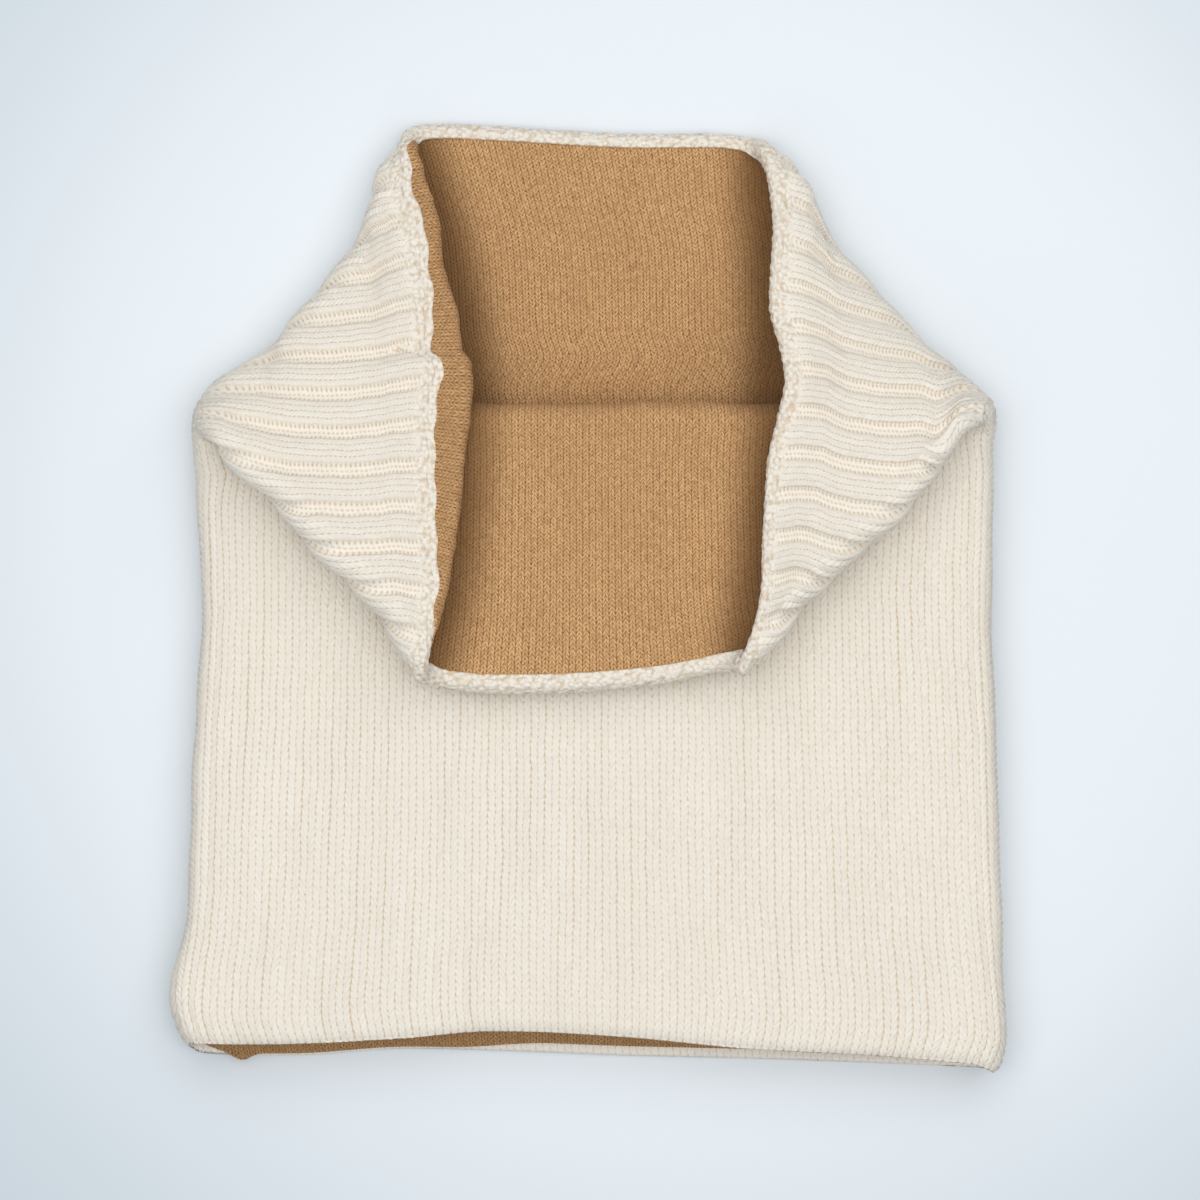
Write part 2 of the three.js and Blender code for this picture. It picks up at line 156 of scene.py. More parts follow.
def loop_corners(s):
    """The corners of the closed loop of cloth at distance s, from the left of the back wall."""
    front_y, front_z = front_line(s)
    folded = float(ease(*LIFTING, s))
    dipping = float(ease(*DIP_GROWS, s) - ease(*DIP_FADES, s))
    back_y, back_z = CREASE_Y + s, BACK_Z + FOLD_RISE
    flap_z = front_z + FLAP_LIFT * FOLD_RISE * folded
    t = np.arange(SIDE_STEPS + 1) / SIDE_STEPS
    arch = 4 * t * (1 - t)
    paths = []
    for sign, column, crown, dip, swell, curl in ((-1, 1, 1, CORNER_DIP_L, CORNER_BULGE_L, RIM_CURL_L),
                                                  (1, 4, 2, CORNER_DIP_R, CORNER_BULGE_R, RIM_CURL_R)):
        flap_y = front_y - dip * dipping
        back_x, side_x, front_x = (float(read_table(SECTIONS, column + i, s)) for i in range(3))
        bow = side_x - (back_x + front_x) / 2
        lift = max(0.0, float(read_table(SIDE_CROWN, crown, s))) * folded
        bulge = swell * float(ease(BULGE_START_S, RIM_S, s)) * (1 - t) ** 2
        inward = curl * float(ease(CURL_START_S, RIM_S + 2, s)) * (1 - t) ** 2
        side = np.stack([sign * (back_x + (front_x - back_x) * t + bow * arch + bulge - inward),
                         back_y + (flap_y - back_y) * t - bulge,
                         back_z + (flap_z - back_z) * t + lift * arch + CURL_LIFT * inward], 1)
        paths.append(np.vstack([[sign * (back_x - CURL_BELOW * inward[0]), back_y, BACK_Z], side,
                                [sign * front_x, flap_y, front_z],
                                [sign * (front_x - DIP_REACH), front_y, front_z]]))
    return np.vstack([paths[0], paths[1][::-1]])


class Loop:
    """The loop with its corners softened: each point is the mean of the corner line over a stretch."""

    def __init__(self, s):
        self.corners = loop_corners(s)
        self.soft = CORNER_SOFTNESS + CUFF_SOFTNESS * float(ease(SOFTER_START_S, RIM_S, s))
        following = np.roll(self.corners, -1, 0)
        self.step = following - self.corners
        edge = np.linalg.norm(self.step, axis=1)
        self.edge = np.maximum(edge, 1e-9)
        self.start = np.concatenate([[0], np.cumsum(edge)])
        middles = (self.corners + following) / 2 * edge[:, None]
        self.sum = np.vstack([[0, 0, 0], np.cumsum(middles, 0)])
        self.length = self.start[-1]
        self.back_centre = self.length - self.corners[-1, 0]

    def integral(self, along):
        """The corner line summed from its start to each length along it."""
        rounds = np.floor(along / self.length)
        rest = along - rounds * self.length
        i = np.clip(np.searchsorted(self.start, rest, side="left") - 1, 0, len(self.corners) - 1)
        t = rest - self.start[i]
        return (self.step[i] * (t * t / (2 * self.edge[i]))[:, None] + self.corners[i] * t[:, None]
                + self.sum[i] + self.sum[-1] * rounds[:, None])

    def at(self, fraction):
        """Points at fractions of the loop, counted from the back centre round by the left."""
        along = self.back_centre + np.asarray(fraction, float) * self.length
        return (self.integral(along + self.soft) - self.integral(along - self.soft)) / (2 * self.soft)

    def folds(self):
        """Fractions of the loop where it folds over, in the same order."""
        last = len(self.corners) - 2
        places = [0, SIDE_STEPS + 1, last - SIDE_STEPS - 1, last]
        middle = [(self.start[i] + self.start[i + 1]) / 2 for i in places]
        return [(m + self.length - self.back_centre) / self.length for m in middle]


def between(fraction, start, end, blur):
    """1 on a stretch of the loop and 0 off it, with both ends blurred."""
    return ease(start - blur, start + blur, fraction) * (1 - ease(end - blur, end + blur, fraction))


def wall(loop, fraction, s):
    """Points of the wall's middle surface, with the hem line's rise and fall and the rim's own line."""
    p = loop.at(fraction)
    near = float(1 - ease(HEM_S, HEM_S + HEM_REACH, s))
    if near > 0:
        over = ease(BACK_Z, BACK_Z + FOLD_RISE, p[:, 2])
        back = read_table(HEM_LINE, 2, p[:, 0])
        front = read_table(HEM_LINE, 1, p[:, 0])
        p[:, 1] -= near * (back + (front - back) * over)
    near = float(ease(RIM_REACH_S, RIM_S, s))
    if near > 0:
        x, y = p[:, 0].copy(), p[:, 1].copy()
        on_front = between(fraction, BOTTOM_LEFT, BOTTOM_RIGHT, RIM_BLUR)
        on_back = 1 - between(fraction, TOP_LEFT, TOP_RIGHT, RIM_BLUR)
        on_side = 1 - on_front - on_back
        outward = np.where(x < 0, -read_table(RIM_EDGE, 1, y), read_table(RIM_EDGE, 2, y))
        p[:, 0] += near * on_side * outward
        p[:, 1] += near * (on_back * read_table(RIM_LINE, 2, x) - on_front * read_table(RIM_LINE, 1, x))
    return p


RIM_LOOP = Loop(RIM_S)
TOP_LEFT, BOTTOM_LEFT, BOTTOM_RIGHT, TOP_RIGHT = RIM_LOOP.folds()
HEM_LOOP = Loop(HEM_S)


class Cloth:
    """The wall's middle surface at fixed fractions, read at any distance s and offset along its normal.
    With straight, the front's wales run straight up to the rim."""

    STEP = 0.5
    PAST_HEM = 3
    PAST_RIM = 5
    FRONT = (0.26, 0.74)
    FRONT_BLUR = 0.1
    NUDGE = 1e-3

    def __init__(self, fractions, straight=False):
        self.first = HEM_S - self.PAST_HEM
        fractions = np.asarray(fractions, float)
        rows = np.arange(self.first, RIM_S + self.PAST_RIM, self.STEP)
        front_x = RIM_LOOP.at([0.5])[0, 0]
        on_front = between(fractions, *self.FRONT, self.FRONT_BLUR) if straight else 0
        middle, across = [], []
        for s in rows:
            loop = Loop(s)
            at = fractions + on_front * (front_x - loop.at([0.5])[0, 0]) / loop.length
            middle.append(wall(loop, at, s))
            across.append(wall(loop, at + self.NUDGE, s) - wall(loop, at - self.NUDGE, s))
        self.middle = np.array(middle)
        across = np.array(across)
        normal = np.cross(across, np.gradient(self.middle, axis=0))
        self.normal = normal / np.linalg.norm(normal, axis=2, keepdims=True)
        self.across = across / np.linalg.norm(across, axis=2, keepdims=True)

    def read(self, grid, s):
        """Values of a grid of rows at each column's own distance s."""
        place = (s - self.first) / self.STEP
        low = np.clip(np.floor(place).astype(int), 0, len(grid) - 2)
        t = (place - low)[..., None]
        columns = np.broadcast_to(np.arange(grid.shape[1]), s.shape)
        return grid[low, columns] * (1 - t) + grid[low + 1, columns] * t

    def at(self, s, offset, sideways=0.0):
        """Points at distances s, offset outwards and moved sideways along the loop."""
        normal = self.read(self.normal, s)
        normal /= np.linalg.norm(normal, axis=-1, keepdims=True)
        out = self.read(self.middle, s) + normal * offset[..., None]
        if np.any(sideways):
            out += self.read(self.across, s) * np.broadcast_to(sideways, s.shape)[..., None]
        return out


def waves(seed, count, shortest, longest):
    """A smooth random field of two variables, from about -1 to 1, as a sum of plane waves."""
    rng = np.random.default_rng(seed)
    length = np.exp(rng.uniform(math.log(shortest), math.log(longest), count))
    angle = rng.uniform(0, 2 * math.pi, count)
    phase = rng.uniform(0, 2 * math.pi, count)
    kx = 2 * math.pi * np.cos(angle) / length
    ky = 2 * math.pi * np.sin(angle) / length

    def field(x, y):
        total = np.zeros(np.broadcast(x, y).shape)
        for a, b, c in zip(kx, ky, phase):
            total += np.sin(a * x + b * y + c)
        return total / math.sqrt(count)
    return field


MIX_FACTOR = 1103515245
MIX_STEPS = (12345, 6791)
MIX_SHIFT = 1013904223
MIX_MASK = 0x7FFFFFFF
SEED_STEPS = (7919, 17)


def scatter(seed, *whole):
    """A repeatable random number from 0 to 1 for each set of whole numbers."""
    mixed = np.full(np.broadcast(*whole).shape, seed * SEED_STEPS[0] + SEED_STEPS[1], np.int64)
    for i, w in enumerate(whole):
        step = MIX_STEPS[0] + MIX_STEPS[1] * i
        mixed = (mixed * MIX_FACTOR + np.asarray(w).astype(np.int64) * step + MIX_SHIFT) & MIX_MASK
        mixed ^= mixed >> 15
    mixed = (mixed * MIX_FACTOR + MIX_STEPS[0]) & MIX_MASK
    return (mixed >> 7) / float(MIX_MASK >> 7)


def ring_mesh(name, points, knit, around, relief, legs, knots, painted_shade):
    """A closed skin from a grid of points that joins up both ways. knit is (u, v) in stitches at each point,
    and u grows by around on the way round. relief is the height in the pile, which also sets the bump and
    the painted shade of the hollows, legs is 1 where knit legs show, knots is 1 on the bind-off, and the
    last array is painted shade laid into the colour, 1 where it is darkest."""
    rows, columns = points.shape[:2]
    index = np.arange(rows * columns).reshape(rows, columns)
    down, right = np.roll(index, -1, 0), np.roll(index, -1, 1)
    corner = np.roll(down, -1, 1)
    quads = np.stack([index, right, corner, down], -1).reshape(-1, 4)
    flat = points.reshape(-1, 3)
    a, b, c, d = (flat[quads[:, i]] for i in range(4))
    if np.einsum("ij,ij->i", a, np.cross(b, c) + np.cross(c, d)).sum() < 0:
        quads = quads[:, ::-1]
    mesh = bpy.data.meshes.new(name)
    mesh.vertices.add(len(flat))
    mesh.vertices.foreach_set("co", (flat * MM).astype(np.float32).ravel())
    mesh.loops.add(quads.size)
    mesh.loops.foreach_set("vertex_index", quads.astype(np.int32).ravel())
    mesh.polygons.add(len(quads))
    mesh.polygons.foreach_set("loop_start", (np.arange(len(quads)) * 4).astype(np.int32))
    mesh.polygons.foreach_set("use_smooth", np.ones(len(quads), bool))
    mesh.update(calc_edges=True)

    corner_row, corner_column = np.divmod(quads, columns)
    face_row, face_column = np.divmod(np.arange(len(quads))[:, None], columns)
    corner_row = np.where((face_row == rows - 1) & (corner_row == 0), rows, corner_row)
    corner_column = np.where((face_column == columns - 1) & (corner_column == 0), columns, corner_column)

    def lengths(axis):
        """Mean length along the grid up to each row or column, as a share of the whole."""
        step = np.linalg.norm(np.roll(points, -1, axis) - points, axis=2).mean(1 - axis)
        return np.concatenate([[0], np.cumsum(step) / step.sum()])
    fit = np.stack([lengths(1)[corner_column], lengths(0)[corner_row]], -1)
    mesh.uv_layers.new(name="OFBake").uv.foreach_set("vector", fit.astype(np.float32).ravel())
    wrapped = np.concatenate([knit, knit[:, :1] + [around, 0]], 1)
    wrapped = np.concatenate([wrapped, wrapped[:1]], 0)[corner_row, corner_column]
    mesh.uv_layers.new(name="knit").uv.foreach_set("vector", wrapped.astype(np.float32).ravel())
    for label, values in (("relief", relief), ("legs", legs), ("knots", knots), ("painted_shade", painted_shade)):
        field = mesh.attributes.new(label, "FLOAT", "POINT")
        spread = np.broadcast_to(values, points.shape[:2])
        field.data.foreach_set("value", spread.astype(np.float32).ravel())
    piece = bpy.data.objects.new(name, mesh)
    bpy.context.scene.collection.objects.link(piece)
    return piece


# The rim. A path runs along the outer face to the bead, where its length is 0, round it and on along the
# inner face

HALF_ROUND = math.pi * BEAD_R
SEAM_TOP = 9.9
SEAM_BOTTOM = 11.2
SEAM_RIGHT = 11.6
SEAM_BLUR = 0.02
# Stretches of the loop over which the lining starts and stops rolling outwards, down the left side
LIP_STARTS = (TOP_LEFT - 0.008, TOP_LEFT + 0.016)
LIP_STOPS = (BOTTOM_LEFT - 0.03, BOTTOM_LEFT)
# y, then how far the seam lies along the rim's path there
LIP_LINE = np.array([
    (-20, 7.5), (-12, 3.2), (-5, -0.2), (2, -0.5), (13, -3.3), (27, -5.6), (45, -6.9), (58, -7.2),
    (68, -6.7), (80, -7.0), (90, -4.6), (103, -1.3), (116, -1.0), (128, -1.6), (141, 1.0),
], float)
LIP_STEP = 2.2  # the seam's jump beside the tuck
LIP_RIPPLE = 0.4  # its wave from rib to rib
RIPPLE_SHIFT = 0.15
WHOLE_LIP = 2.0  # with the seam before this length of the path, the lip is whole


def rim_path(length, radius):
    """(s, offset) at a length along the path, whose distance from the bead's middle is radius."""
    turn = np.clip(length, 0, HALF_ROUND) / BEAD_R
    s = BEAD_S + radius * np.sin(turn) + np.minimum(length, 0) - np.maximum(length - HALF_ROUND, 0)
    return s, BEAD_OFFSET + radius * np.cos(turn)


def rim_cap(length, radius, size, angle, forward):
    """(s, offset) round the cut edge of a cloth that ends at a length along the path."""
    turn = np.clip(length, 0, HALF_ROUND) / BEAD_R
    s, offset = rim_path(length, radius)
    ahead, sink = forward * size * np.sin(angle), size * (1 - np.cos(angle))
    return (s + ahead * np.cos(turn) - sink * np.sin(turn),
            offset - ahead * np.sin(turn) - sink * np.cos(turn))


# The tuck, a fold across the left side of the cuff. The stretches of the loop are counted from its place

TUCK_Y = 76.5
TUCK_OVER = 1.7
TUCK_UNDER = 1.3
TUCK_DEEPENS = (38, 74)  # the stretch of s over which it deepens
OVER_RISES = (-0.003, 0.005)
OVER_FALLS = (0.012, 0.07)
UNDER_RISES = (-0.045, -0.004)
UNDER_FALLS = (-0.003, 0.004)
STEP_RISES = (-0.002, 0.003)  # where the seam jumps
STEP_FALLS = (0.006, 0.03)
CLEAR_OF_CORNER = 0.02
LEFT_SIDE = np.linspace(TOP_LEFT + CLEAR_OF_CORNER, BOTTOM_LEFT - CLEAR_OF_CORNER, 400)
TUCK_AT = LEFT_SIDE[np.argmin(np.abs(RIM_LOOP.at(LEFT_SIDE)[:, 1] - TUCK_Y))]


def hump(value, rises, falls, origin=0.0):
    """0, then 1, then 0 again: it rises over one stretch and falls over the other, counted from origin."""
    up = ease(origin + rises[0], origin + rises[1], value)
    return up * (1 - ease(origin + falls[0], origin + falls[1], value))


def tuck(fraction, s):
    """How far the tuck lifts the cloth: beyond it the cloth lies on top, before it the cloth dips."""
    over = hump(fraction, OVER_RISES, OVER_FALLS, TUCK_AT)
    under = hump(fraction, UNDER_RISES, UNDER_FALLS, TUCK_AT)
    return ease(*TUCK_DEEPENS, s) * (TUCK_OVER * over - TUCK_UNDER * under)


def seam_at(fraction):
    """Where cream meets camel, as a length along the rim's path."""
    cream_in = (SEAM_TOP
                + (SEAM_BOTTOM - SEAM_TOP) * between(fraction, BOTTOM_LEFT, BOTTOM_RIGHT, SEAM_BLUR)
                + (SEAM_RIGHT - SEAM_TOP) * between(fraction, BOTTOM_RIGHT, TOP_RIGHT, SEAM_BLUR))
    step = LIP_STEP * hump(fraction, STEP_RISES, STEP_FALLS, TUCK_AT)
    ripple = LIP_RIPPLE * np.sin(2 * math.pi * (fraction * RIB_COUNT - RIPPLE_SHIFT))
    lip = read_table(LIP_LINE, 1, RIM_LOOP.at(fraction)[:, 1]) + step + ripple
    return cream_in + (lip - cream_in) * hump(fraction, LIP_STARTS, LIP_STOPS)


def lip_share(seam):
    """1 where the lining rolls out over the rim, 0 where the cream wraps in."""
    return 1 - ease(WHOLE_LIP, HALF_ROUND, seam)


# Stitches. Heights in the pile run from 0 at its base to 1 at the top of a leg

ROWS_PER_COURSE = 3
LEG_FOOT = 0.68  # height of a leg's first and last mesh row; the one between is 1
LEG_TOP = 0.94
LEG_ROUNDING = 0.68
LEG_POWER = 1.5
LEG_RISE = 1.5  # a leg climbs this many courses across half a wale
LEAN_REACH = 4.0  # it leans less over this many courses at each end of the wale
INNER_RELIEF = 0.5
RELIEF_TOP = 1.2
TABLE_CLEARANCE = 0.05


def course_levels(courses, rows):
    """Places of the mesh rows, counted in courses."""
    return np.arange(0, courses + 0.01, 1 / rows)[:, None]


def leg_height(d, level):
    """Height of a leg of a knit stitch: d is 0 at the middle of the wale and 1 at its edge."""
    row = (level - np.floor(level)) * ROWS_PER_COURSE
    along = np.where(row < 0.5, LEG_FOOT, np.where(row < 1.5, 1.0, LEG_TOP))
    return (1 - LEG_ROUNDING * np.abs(2 * d - 1) ** LEG_POWER) * along


def lean_up(level, lean, total):
    """Distance along the wale, in courses, of a mesh row whose legs lean up towards the wale's edge."""
    starts = ease(0, LEAN_REACH, level)
    return level + LEG_RISE * lean * starts * (1 - ease(total - LEAN_REACH, total, level))


def uneven(height, amount, noise):
    """Heights that are lowered by up to an amount, so that no two stitches are the same."""
    return height * (1 - amount + amount * noise)


def on_table(points):
    """The same points, pressed flat where they would sink into the table."""
    points[..., 2] = np.maximum(points[..., 2], TABLE_CLEARANCE)
    return points


# Body: stockinette

BODY_WALES = 116
BODY_COURSES = 93
BODY_COURSE = (RIB_START_S - HEM_S) / BODY_COURSES
WALE_MM = 4.4
WALE_COLUMNS = 4
BODY_PLAIN_TO = 0.215  # up to this share of the loop from the back's middle, the body has plain columns
BODY_PLAIN_HEIGHT = 0.8
BODY_UNEVEN = 0.08
BODY_PILE = 1.45
BODY_SINK = 0.1
WALE_EDGE_FROM = 0.9  # past this share of a half wale lies its edge, which is deeper in patches
WALE_EDGE_DEPTH = 0.10
WALE_EDGE_VARIES = 0.12
BODY_SWELL = 0.25
BODY_SWAY = 0.25
BODY_JITTER = 0.10
HEM_ROUND = 3.2  # the outer face bends in over this length at the hem
HEM_THINNER = 1.3
HEM_CURL = 0.9
# s of the mesh rows on the inner face, which are fine by the cuff and coarse further down
BODY_INSIDE_S = np.concatenate([np.arange(RIB_START_S, -48, -4.0), np.arange(-56, HEM_S + 6, -16.0),
                                [HEM_S + 1.0, HEM_S - 0.3]])


def body_piece():
    every = np.arange(0, BODY_WALES, 1 / WALE_COLUMNS)
    seen = np.abs((every / BODY_WALES + 0.5) % 1 - 0.5) > BODY_PLAIN_TO
    keep = seen | (every == np.floor(every))
    u, seen = every[keep], seen[keep]
    cloth = Cloth(u / BODY_WALES)
    level = course_levels(BODY_COURSES, ROWS_PER_COURSE)
    x = u - np.floor(u)
    d = np.where(seen, np.abs(2 * x - 1), 0.5)[None, :]
    across = u[None, :] * WALE_MM
    s = HEM_S + BODY_COURSE * lean_up(level, np.where(seen, d, 0), BODY_COURSES)

    height = np.where(seen, leg_height(d, level), BODY_PLAIN_HEIGHT)
    height = uneven(height, BODY_UNEVEN, scatter(3, np.floor(u * 2)[None, :], np.floor(level)))
    edge_of_wale = (d > WALE_EDGE_FROM) & seen
    varies = waves(seed=5, count=9, shortest=8, longest=60)(across, level * 0.5)
    height = height - edge_of_wale * (WALE_EDGE_DEPTH + WALE_EDGE_VARIES * varies)

    aside = (BODY_SWAY * waves(seed=7, count=14, shortest=14, longest=70)(across, s)
             + BODY_JITTER * waves(seed=8, count=14, shortest=3, longest=9)(across, s))
    swell = BODY_SWELL * waves(seed=11, count=12, shortest=25, longest=90)(across, s)
    hem = 1 - ease(HEM_S, HEM_S + HEM_ROUND, s)
    lift = OUTER_FACE - BODY_SINK - BODY_PILE * (1 - height) + swell - HEM_THINNER * hem ** 2
    outer = on_table(cloth.at(s, lift, aside))
    s_in = np.repeat(BODY_INSIDE_S[:, None], len(u), 1)
    inner = cloth.at(s_in, np.where(s_in < HEM_S, MID_OUT + HEM_CURL, MID_OUT))

    all_s = np.concatenate([s, s_in])
    knit = np.stack([np.broadcast_to(u, all_s.shape), (all_s - HEM_S) / BODY_COURSE], -1)
    relief = np.concatenate([height, np.full(s_in.shape, INNER_RELIEF)])
    return ring_mesh("body_knit", np.concatenate([outer, inner]), knit, BODY_WALES, relief, 1.0, 0.0, 0.0)


# Cuff: two by two rib with a bead of bind-off knots

KNIT_SHARE = 0.62
CUFF_COURSES = 51
VALLEY_AT = 2 / 3  # where the solid's valley runs, as a share of a rib
RIB_SHIFT = VALLEY_AT - (1 + KNIT_SHARE) / 2
RIB_MM = 10.5
CUFF_SHOWN = (0.095, 0.425)  # shares of the loop from the back's middle between which the ribs show
SHOWN_COLUMNS = (8, 6)  # in the knit and in the purl part of a rib
HIDDEN_COLUMNS = (5, 3)
CUFF_PLAIN_HEIGHT = 0.75
CUFF_UNEVEN = 0.08
CUFF_PILE = 1.0
CUFF_SINK = 0.25
CUFF_SWELL = 0.25
CUFF_SWAY = 0.15
PURL_ROWS = 3  # rows of dots across the purl part
PURL_TOP = 0.72
PURL_DOTS = 0.62
PURL_START = 0.45  # the height of the purl's first column, beside the knit
RIB_CROWN = 0.8
RIB_VALLEY = 1.85
RIB_POWER = 0.6
RIBS_GROW = (RIB_START_S - 2, RIB_START_S + 9)  # the stretch of s over which the ribs grow
RIBS_FADE = (-0.5, 8)  # distances from the bead over which the ribs, and then the knots, fade
KNOTS_FADE = (2.5, 6.0)
KNOT_SHARE = 0.8
KNOT_HEIGHT = 0.62
KNOT_VARIES = 0.32
LIP_SETBACK = 2.0  # the flat part of the cuff ends this much sooner where the lining rolls over it
SETBACK_UNTIL = 4.0
BEAD_ROWS = 13
BEAD_SINK = 0.3
BEAD_KNOTS = 0.42
BEAD_KNOTS_GROW = (-1, 2)  # lengths of the path over which the bead's knots grow
BEAD_STEP_UP = 1.1  # the bead is this much thicker where it meets the lining
BEAD_STEPS_UP = (HALF_ROUND - 2.5, HALF_ROUND + 0.5)
BEAD_RELIEF = 0.62
BEAD_RELIEF_VARIES = 0.38
CUFF_CAP_ANGLES = np.radians([25, 60, 100, 145])[:, None]
CUFF_EDGE = 0.55  # size of the cut edge, and how much it grows by the lip
CUFF_EDGE_BY_LIP = 0.95
CUFF_EDGE_RELIEF = 0.35
CUFF_INSIDE_ROWS = 10
INSIDE_BEFORE_BEAD = 0.6
INSIDE_PAST_FLAT = 1.6


def cuff_columns():
    """Place in ribs of each column, its share of the way across the rib, and whether it shows from above."""
    out = []
    for rib in range(RIB_COUNT):
        middle = abs(((rib + 0.5) / RIB_COUNT + 0.5) % 1 - 0.5)
        seen = CUFF_SHOWN[0] < middle < CUFF_SHOWN[1]
        knits, purls = SHOWN_COLUMNS if seen else HIDDEN_COLUMNS
        share = np.concatenate([np.arange(knits) / knits * KNIT_SHARE,
                                KNIT_SHARE + np.arange(purls) / purls * (1 - KNIT_SHARE)])
        out.append(np.stack([rib + share, share, np.full(len(share), seen)], 1))
    table = np.concatenate(out)
    return table[:, 0], table[:, 1], table[:, 2] > 0.5


def purl_height(w, level):
    """Height of the purl bumps, which are staggered dots: w runs from 0 to 1 across the purl part."""
    stagger = np.where(np.abs(w - 0.5) < 0.1, 0.5, 0.0)[None, :]
    row_of_dots = 0.5 + 0.5 * np.cos(2 * PURL_ROWS * math.pi * (w - 0.5 / PURL_ROWS))[None, :]
    dots = row_of_dots * (0.5 + 0.5 * np.cos(2 * math.pi * (level - stagger)))
    return np.where(w < 0.05, PURL_START, PURL_TOP - PURL_DOTS * dots)


def cuff_bead(cloth, across, start, seam, lifted):
    """The bead of knots from start to the seam, and its cut edge: lengths, unevenness and both skins."""
    length = start + (seam - start) * np.linspace(0, 1, BEAD_ROWS + 1)[1:, None]
    ring = np.tanh(waves(seed=29, count=30, shortest=1.6, longest=3.4)(across, length))
    step_up = BEAD_STEP_UP * ease(*BEAD_STEPS_UP, length)
    radius = BEAD_R - BEAD_SINK + BEAD_KNOTS * ring * ease(*BEAD_KNOTS_GROW, length) + step_up
    radius = radius + lifted
    bead = on_table(cloth.at(*rim_path(length, radius)))
    edge = CUFF_EDGE + CUFF_EDGE_BY_LIP * lip_share(seam)
    cap = cloth.at(*rim_cap(seam, radius[-1:], edge, CUFF_CAP_ANGLES, 1))
    return length, ring, bead, cap


def cuff_piece():
    place, share, seen = cuff_columns()
    fractions = (place + RIB_SHIFT) / RIB_COUNT
    cloth = Cloth(fractions)
    across = place[None, :] * RIB_MM
    knit = share < KNIT_SHARE - 1e-6
    x = np.where(knit, share / KNIT_SHARE * 2 % 1, 0)
    d = np.where(knit, np.abs(2 * x - 1), 1.0)[None, :]
    w = np.where(knit, 0, (share - KNIT_SHARE) / (1 - KNIT_SHARE))
    level = course_levels(CUFF_COURSES, ROWS_PER_COURSE)
    seam = seam_at(fractions)[None, :]
    lip = lip_share(seam)

    start = np.minimum(0, seam) - LIP_SETBACK * (1 - ease(0, SETBACK_UNTIL, seam))
    flat_end = BEAD_S + start
    course = (flat_end - RIB_START_S) / CUFF_COURSES
    s = RIB_START_S + course * lean_up(level, np.where(seen, d, 0), CUFF_COURSES)
    from_rim = flat_end - s
    height = np.where(knit, leg_height(d, level), purl_height(w, level))
    height = np.where(seen, height, CUFF_PLAIN_HEIGHT)
    height = uneven(height, CUFF_UNEVEN, scatter(21, np.floor(place * 8)[None, :], np.floor(level)))
    knots = 1 - ease(*KNOTS_FADE, from_rim)
    lumps = np.tanh(waves(seed=23, count=26, shortest=1.7, longest=3.6)(across, s))
    height = height * (1 - KNOT_SHARE * knots) + KNOT_SHARE * knots * (KNOT_HEIGHT + KNOT_VARIES * lumps)

    valley = np.where(knit, 0, np.sin(math.pi * w) ** RIB_POWER)[None, :]
    crown = np.where(knit, np.abs(np.sin(math.pi * share / KNIT_SHARE)) ** RIB_POWER, 0)[None, :]
    ribs = ease(*RIBS_GROW, s) * ease(*RIBS_FADE, from_rim) * (RIB_CROWN * crown - RIB_VALLEY * valley)
    swell = CUFF_SWELL * waves(seed=25, count=12, shortest=18, longest=70)(across, s)
    aside = CUFF_SWAY * waves(seed=27, count=14, shortest=5, longest=30)(across, s)
    lift = OUTER_FACE - CUFF_SINK - CUFF_PILE * (1 - height) + swell + tuck(fractions[None, :], s) + ribs
    outer = on_table(cloth.at(s, lift, aside))

    lifted = tuck(fractions[None, :], RIM_S) * lip
    length, ring, bead, cap = cuff_bead(cloth, across, start, seam, lifted)
    under_end = np.minimum(BEAD_S - INSIDE_BEFORE_BEAD, flat_end + INSIDE_PAST_FLAT * lip)
    down = np.arange(CUFF_INSIDE_ROWS)[:, None]
    s_in = under_end - (under_end - RIB_START_S) * down / (CUFF_INSIDE_ROWS - 1)
    inner = cloth.at(s_in, np.full(s_in.shape, MID_OUT))

    cap_rows = len(CUFF_CAP_ANGLES)
    past_flat = (BEAD_ROWS + cap_rows + CUFF_INSIDE_ROWS, len(place))
    all_s = np.concatenate([s, BEAD_S + length, BEAD_S + np.repeat(seam, cap_rows, 0), s_in])
    u = np.floor(place) * 3 + np.where(knit, share / KNIT_SHARE * 2, 2 + w)
    stitches = np.stack([np.broadcast_to(u, all_s.shape), (all_s - RIB_START_S) / course], -1)
    relief = np.concatenate([height, BEAD_RELIEF + BEAD_RELIEF_VARIES * ring,
                             np.full((cap_rows, len(place)), CUFF_EDGE_RELIEF),
                             np.full(s_in.shape, INNER_RELIEF)])
    legs = np.concatenate([np.where(knit, 1.0, 0.0) * (1 - knots), np.zeros(past_flat)])
    knotted = np.concatenate([knots + np.zeros(s.shape), np.ones(past_flat)])
    return ring_mesh("cuff_ribs", np.concatenate([outer, bead, cap, inner]), stitches, 3 * RIB_COUNT,
                     np.clip(relief, 0, RELIEF_TOP), legs, knotted, 0.0)


# Lining: fine stockinette, its knit face inwards

LINING_WALES = 272
LINING_COURSE = 1.27
LINING_FINE_S = -8.0  # the stitches are in the mesh from here to the rim
LINING_PLAIN_S = -60.0  # the hem's rows end here, and the plain ones go on to the fine ones
LINING_WALE_MM = 1.85
WALE_HALVES = 2
COURSE_HALVES = 2
BACK_SHOWN = 0.158  # the stitches show up to these shares of the loop from the back's middle and the front's
FRONT_SHOWN = 0.128
CREST_HEIGHT = 0.95
FURROW_HEIGHT = 0.55
COURSE_DIP = 0.15
LINING_PLAIN_HEIGHT = 0.75
LINING_UNEVEN = 0.14
LINING_PILE = 0.22
LINING_SWELL = 0.3
LINING_SWAY = 0.05
PANEL_SINK = 0.2
HEM_ROWS = 9
PLAIN_ROWS = 1 + np.arange(12, 51, 8.0) / (LINING_FINE_S - LINING_PLAIN_S)
